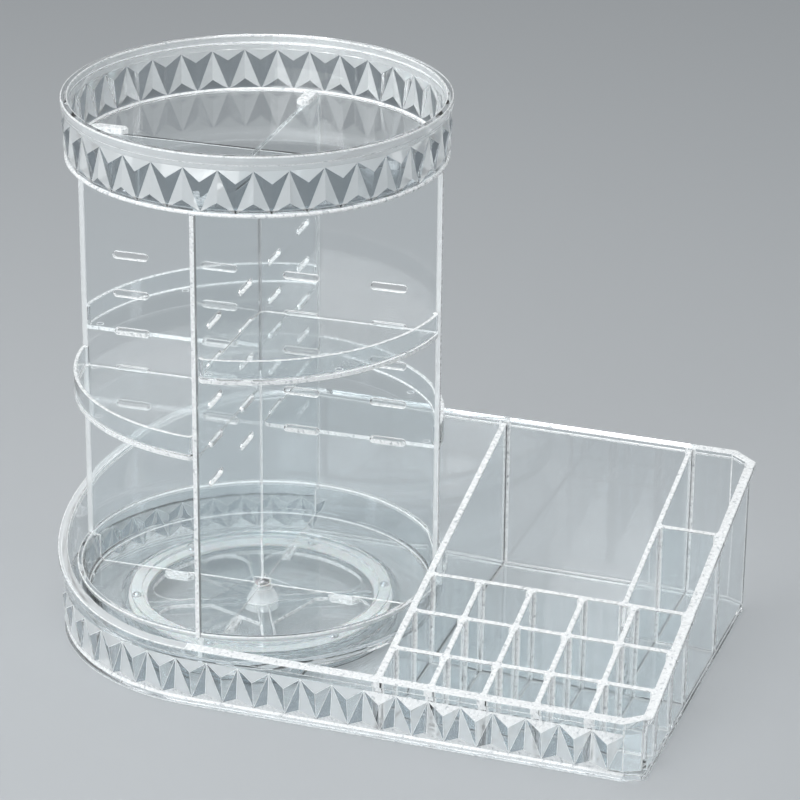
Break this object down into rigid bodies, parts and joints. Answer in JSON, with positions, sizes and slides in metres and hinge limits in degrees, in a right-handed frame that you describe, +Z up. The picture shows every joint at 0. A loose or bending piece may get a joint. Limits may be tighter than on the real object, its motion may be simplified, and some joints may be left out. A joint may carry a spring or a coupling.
{
  "type": "rotating makeup organizer",
  "caption": "Clear plastic makeup organizer: a tower of round trays, crossed slotted panels and quarter shelves turns on balls beside a sloping grid of open bins.",
  "frame": {"origin": "on the surface it stands on, under the middle of the base tray's bounding box; the turntable's axis is the line x = -0.0791, y = 0", "axes": "+X along the base tray from the round end to the bins, +Y from the low front rim to the high back rim, +Z up"},
  "size_m": [0.4072, 0.249, 0.3436],
  "materials": {
    "clear_plastic": "clear polystyrene, straight from a polished mould",
    "milky_plastic": "milky polypropylene, satin",
    "plated_steel": "zinc plated",
    "bearing_steel": "polished ball"
  },
  "bodies": {
    "base": {"base_tray": "clear_plastic", "turntable_plate": "clear_plastic", "pivot_screw": "plated_steel", "pivot_washer": "milky_plastic"},
    "cage": {"ball_cage": "milky_plastic", "ball_1": "bearing_steel", "ball_2": "bearing_steel", "ball_3": "bearing_steel", "ball_4": "bearing_steel", "ball_5": "bearing_steel", "ball_6": "bearing_steel"},
    "tower": {"bottom_tray": "clear_plastic", "panel_a": "clear_plastic", "panel_b": "clear_plastic", "shelf_1": "clear_plastic", "shelf_2": "clear_plastic", "shelf_3": "clear_plastic", "shelf_4": "clear_plastic", "top_tray": "clear_plastic"}
  },
  "joints": [
    {"name": "tower_spin", "type": "hinge", "parent": "base", "child": "tower", "pos_m": [-0.0791, 0, 0.021], "axis": [0, 0, 1], "continuous": true},
    {"name": "cage_spin", "type": "hinge", "parent": "base", "child": "cage", "pos_m": [-0.0791, 0, 0.0155], "axis": [0, 0, 1], "continuous": true}
  ],
  "couplings": [
    {"joint": "cage_spin", "follows": "tower_spin", "ratio": 0.5}
  ]
}
